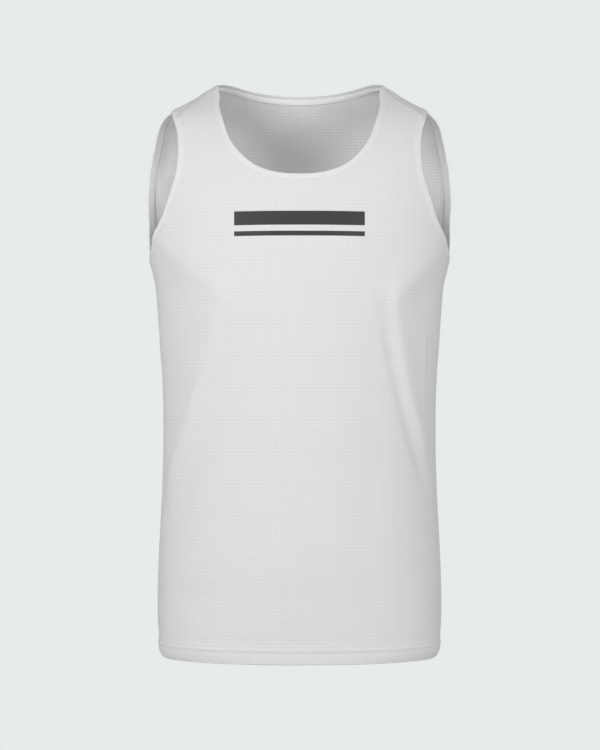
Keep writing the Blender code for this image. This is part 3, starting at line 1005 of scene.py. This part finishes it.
def stitch_tree():
    """Geometry nodes that lay one short rounded stitch at each point, along its direction."""
    tree = bpy.data.node_groups.new("stitches", "GeometryNodeTree")
    tree.interface.new_socket("Geometry", in_out="INPUT", socket_type="NodeSocketGeometry")
    tree.interface.new_socket("Geometry", in_out="OUTPUT", socket_type="NodeSocketGeometry")
    for name in ("Length", "Width", "Thickness"):
        tree.interface.new_socket(name, in_out="INPUT", socket_type="NodeSocketFloat")
    tree.interface.new_socket("Material", in_out="INPUT", socket_type="NodeSocketMaterial")
    nodes, links = tree.nodes, tree.links
    given = nodes.new("NodeGroupInput").outputs
    result = nodes.new("NodeGroupOutput")

    ball = nodes.new("GeometryNodeMeshUVSphere")
    for name, value in (("Segments", 6), ("Rings", 5), ("Radius", 0.5)):
        ball.inputs[name].default_value = value
    size = nodes.new("ShaderNodeCombineXYZ")
    for socket, name in zip(size.inputs, ("Length", "Width", "Thickness")):
        links.new(given[name], socket)
    shaped = nodes.new("GeometryNodeTransform")
    links.new(ball.outputs["Mesh"], shaped.inputs["Geometry"])
    links.new(size.outputs[0], shaped.inputs["Scale"])
    smooth = nodes.new("GeometryNodeSetShadeSmooth")
    links.new(shaped.outputs[0], smooth.inputs["Geometry"])

    turned = None
    for name, axis in (("along", "X"), ("up", "Z")):
        attribute = nodes.new("GeometryNodeInputNamedAttribute")
        attribute.data_type = "FLOAT_VECTOR"
        attribute.inputs["Name"].default_value = name
        align = nodes.new("FunctionNodeAlignRotationToVector")
        align.axis = axis
        align.pivot_axis = "AUTO" if turned is None else "X"
        links.new(attribute.outputs["Attribute"], align.inputs["Vector"])
        if turned is not None:
            links.new(turned, align.inputs["Rotation"])
        turned = align.outputs["Rotation"]

    laid = nodes.new("GeometryNodeInstanceOnPoints")
    links.new(given["Geometry"], laid.inputs["Points"])
    links.new(smooth.outputs[0], laid.inputs["Instance"])
    links.new(turned, laid.inputs["Rotation"])
    real = nodes.new("GeometryNodeRealizeInstances")
    links.new(laid.outputs[0], real.inputs[0])
    finish = nodes.new("GeometryNodeSetMaterial")
    links.new(real.outputs[0], finish.inputs["Geometry"])
    links.new(given["Material"], finish.inputs["Material"])
    links.new(finish.outputs[0], result.inputs[0])
    return tree


def stitches(name, lines, tree, material):
    """One piece of all the stitches in some lines."""
    points, along, up = (np.concatenate(part) for part in zip(*lines))
    mesh = bpy.data.meshes.new(name)
    mesh.from_pydata(points.tolist(), [], [])
    for key, values in (("along", along), ("up", up)):
        attribute = mesh.attributes.new(key, "FLOAT_VECTOR", "POINT")
        attribute.data.foreach_set("vector", values.ravel())
    source = bpy.data.objects.new(name, mesh)
    bpy.context.scene.collection.objects.link(source)
    modifier = source.modifiers.new("stitches", "NODES")
    modifier.node_group = tree
    given = {item.name: item.identifier for item in tree.interface.items_tree if item.in_out == "INPUT"}
    modifier[given["Length"]] = STITCH_LENGTH
    modifier[given["Width"]] = THREAD_WIDTH
    modifier[given["Thickness"]] = THREAD_RISE
    modifier[given["Material"]] = material
    ready = source.evaluated_get(bpy.context.evaluated_depsgraph_get())
    made = bpy.data.meshes.new_from_object(ready)
    source.modifiers.remove(modifier)
    source.data = made
    bpy.data.meshes.remove(mesh)
    return source


def band_stitches(name, edge, width, tree, material, side=1):
    """The row of stitches in the groove outside a band."""
    depth = -BAND_CLOTH - BAND_CLEARANCE + BAND_GROOVE - THREAD_OVER_GROOVE
    angle, height = edge.inside(width - BAND_STITCH)
    angle = side * np.append(angle, angle[0])
    height = np.append(height, height[0])
    normal = outward(cloth, angle, height)
    line = stitches_along(cloth(angle, height) - depth * normal, normal)
    return stitches(name, [line], tree, material)


def hem_stitches(name, behind, tree, material):
    """The two rows of stitches along one panel's hem."""
    centre = math.pi if behind else 0.0
    angle = np.linspace(centre - math.pi / 2, centre + math.pi / 2, HEM_STITCH_PLACES + 1)
    lines = []
    for seam in rows(HEM_SEAMS):
        height = HEM_HEIGHT + seam["height"] * MM + 0 * angle
        normal = outward(cloth, angle, height)
        lines.append(stitches_along(cloth(angle, height) + THREAD_OVER_HEM * normal, normal))
    return stitches(name, lines, tree, material)


def neck_tape(neck, material):
    """The tape inside the back neck, from one shoulder seam to the other.

    It lies on the neck band's inner layer and steps down to the cloth below it, leaning off the cloth.
    """
    back = slice(BAND_PLACES, 3 * BAND_PLACES + 1)
    count = 2 * BAND_PLACES + 1
    from_end = np.minimum(np.arange(count), np.arange(count)[::-1])
    near_end = np.exp(-((from_end / TAPE_END_PLACES) ** 2))
    lean = 0 * neck.angle
    lean[back] = TAPE_LEAN + (TAPE_END_LEAN - TAPE_LEAN) * near_end
    high = CLOTH + BAND_CLEARANCE + BAND_CLOTH + BAND_SWELL
    low = CLOTH + TAPE_CLEARANCE
    layers = (
        ("share", "under", "thickness"),
        (0, high, 0.5),
        (0.1, high, 1),
        (0.45, high, 1),
        (0.8, (high + low) / 2, 1),
        (0.94, low, 1),
        (1, low, 0.3),
    )

    def places(across):
        angle, height = neck.inside(TAPE_BELOW_EDGE + across * np.cos(lean))
        return angle[back], height[back]

    profile = []
    face = []
    for layer in rows(layers):
        across = layer["share"] * TAPE_WIDTH
        under = layer["under"] + across * np.sin(lean[back])
        profile.append((across, under))
        face.append((across, under + layer["thickness"] * TAPE_THICKNESS))
    profile += face[::-1]
    return strip("neck_tape_band", places, neck.hand, profile, [material], closed=False)


def light(name, place, size, power):
    """A large soft lamp aimed at the garment's middle."""
    lamp = bpy.data.lights.new(name, "AREA")
    lamp.shape = "DISK"
    lamp.size = size
    lamp.energy = power
    holder = bpy.data.objects.new(name, lamp)
    holder.location = place
    holder.rotation_euler = (Vector(LIGHT_AIM) - Vector(place)).to_track_quat("-Z", "Y").to_euler()
    bpy.context.scene.collection.objects.link(holder)


def seen_or_lit(tree, seen, lit):
    """A mix that shows one shader to the camera and lights the scene with the other."""
    path = tree.nodes.new("ShaderNodeLightPath")
    mix = tree.nodes.new("ShaderNodeMixShader")
    tree.links.new(path.outputs["Is Camera Ray"], mix.inputs[0])
    tree.links.new(lit, mix.inputs[1])
    tree.links.new(seen, mix.inputs[2])
    return mix.outputs[0]


def studio():
    """A plain pale backdrop and floor, and plain soft light."""
    scene = bpy.context.scene
    scene.view_settings.view_transform = "Standard"
    world = bpy.data.worlds.new("studio")
    scene.world = world
    world.use_nodes = True
    tree = world.node_tree
    tree.nodes.clear()
    shaders = []
    for colour, strength in ((BACKDROP, 1.0), ((1.0, 1.0, 1.0, 1.0), WORLD_LIGHT)):
        shader = tree.nodes.new("ShaderNodeBackground")
        shader.inputs["Color"].default_value = colour
        shader.inputs["Strength"].default_value = strength
        shaders.append(shader.outputs[0])
    out = tree.nodes.new("ShaderNodeOutputWorld")
    tree.links.new(seen_or_lit(tree, *shaders), out.inputs[0])

    place = (0, 0, FLOOR_HEIGHT)
    bpy.ops.mesh.primitive_circle_add(vertices=96, radius=FLOOR_RADIUS, fill_type="NGON", location=place)
    floor = bpy.context.object
    floor.name = "floor"
    material = bpy.data.materials.new("floor")
    material.use_nodes = True
    tree = material.node_tree
    shown = tree.nodes.new("ShaderNodeEmission")
    shown.inputs["Color"].default_value = BACKDROP
    plain = tree.nodes["Principled BSDF"]
    plain.inputs["Base Color"].default_value = (0.5, 0.5, 0.5, 1.0)
    plain.inputs["Roughness"].default_value = 0.9
    joined = seen_or_lit(tree, shown.outputs[0], plain.outputs[0])
    tree.links.new(joined, tree.nodes["Material Output"].inputs[0])
    floor.data.materials.append(material)

    for lamp in rows(LIGHTS):
        light(**lamp)


def camera():
    """The camera at the photograph's view."""
    lens = bpy.data.cameras.new("camera")
    lens.lens = CAMERA_LENS
    lens.sensor_width = CAMERA_SENSOR
    holder = bpy.data.objects.new("camera", lens)
    holder.location = CAMERA_PLACE
    holder.rotation_euler = (math.pi / 2, 0, 0)
    bpy.context.scene.collection.objects.link(holder)
    bpy.context.scene.camera = holder


def dress():
    """All the pieces, each riding on the frame. The cloth pieces take the place of their solids' parts, which
    are hidden.
    """
    white = jersey("grid_jersey", JERSEY_LIGHT, JERSEY_LINE)
    printed = jersey("grid_jersey_printed", JERSEY_LIGHT, JERSEY_LINE, printed=True)
    inside = jersey("grid_jersey_inside", INSIDE_LIGHT, INSIDE_LINE, fades=False)
    outer_band = band_jersey("binding_jersey", BAND_LIGHT, BAND_RIB, BAND_RIB_PITCH)
    # The neck band's inner layer gets painted shade.
    neck_inside_shaded = band_jersey("binding_jersey_inside", NECK_BAND_SHADED_LIGHT, NECK_BAND_SHADED_RIB, BAND_RIB_PITCH)
    # The armhole bands' inner layer gets painted light, with a line of painted shade along its seam.
    armhole_lit_tones = (ARMHOLE_BAND_LIT_LIGHT, ARMHOLE_BAND_LIT_RIB)
    seam = ARMHOLE_BAND_INSIDE - BAND_STITCH
    armhole_inside_lit = band_jersey("binding_jersey_armhole", *armhole_lit_tones, BAND_RIB_PITCH, seam)
    tape = band_jersey("tape_weave", TAPE_LIGHT, TAPE_RIB, TAPE_RIB_PITCH, sheen=1.0)
    sewing = thread("sewing_thread")
    tree = stitch_tree()

    neck = neck_edge(NECK_COLUMNS + STRAP_ROWS)
    armhole = armhole_edge(ARMHOLE_COLUMNS + STRAP_ROWS)
    front, front_flat, front_area = panel("front_cloth", False, neck, armhole, [printed, inside])
    back, back_flat, back_area = panel("back_cloth", True, neck, armhole, [white, inside])

    neck = neck_edge(BAND_PLACES)
    armhole = armhole_edge(BAND_PLACES)
    neck_band = band("neck_band", neck, (NECK_BAND, NECK_BAND), [outer_band, neck_inside_shaded])
    widths = (ARMHOLE_BAND, ARMHOLE_BAND_INSIDE)
    left_band = band("armhole_band_left", armhole, widths, [outer_band, armhole_inside_lit])
    right_band = band("armhole_band_right", armhole, widths, [outer_band, armhole_inside_lit], side=-1)
    tape_band = neck_tape(neck, tape)

    neck_stitches = band_stitches("neck_stitches", neck, NECK_BAND, tree, sewing)
    left_stitches = band_stitches("armhole_stitches_left", armhole, ARMHOLE_BAND, tree, sewing)
    right_stitches = band_stitches("armhole_stitches_right", armhole, ARMHOLE_BAND, tree, sewing, side=-1)
    front_hem = hem_stitches("hem_stitches_front", False, tree, sewing)
    back_hem = hem_stitches("hem_stitches_back", True, tree, sewing)

    made = (
        (front, "jersey", "front_panel"),
        (back, "jersey", "back_panel"),
        (neck_band, "binding", "neck_binding"),
        (left_band, "binding", "armhole_binding_left"),
        (right_band, "binding", "armhole_binding_right"),
        (tape_band, "tape", "neck_tape"),
        (neck_stitches, "binding", None),
        (left_stitches, "binding", None),
        (right_stitches, "binding", None),
        (front_hem, "jersey", None),
        (back_hem, "jersey", None),
    )
    for piece, slot, node in made:
        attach(piece, "root")
        if node:
            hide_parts(node)


camera()
studio()
dress()
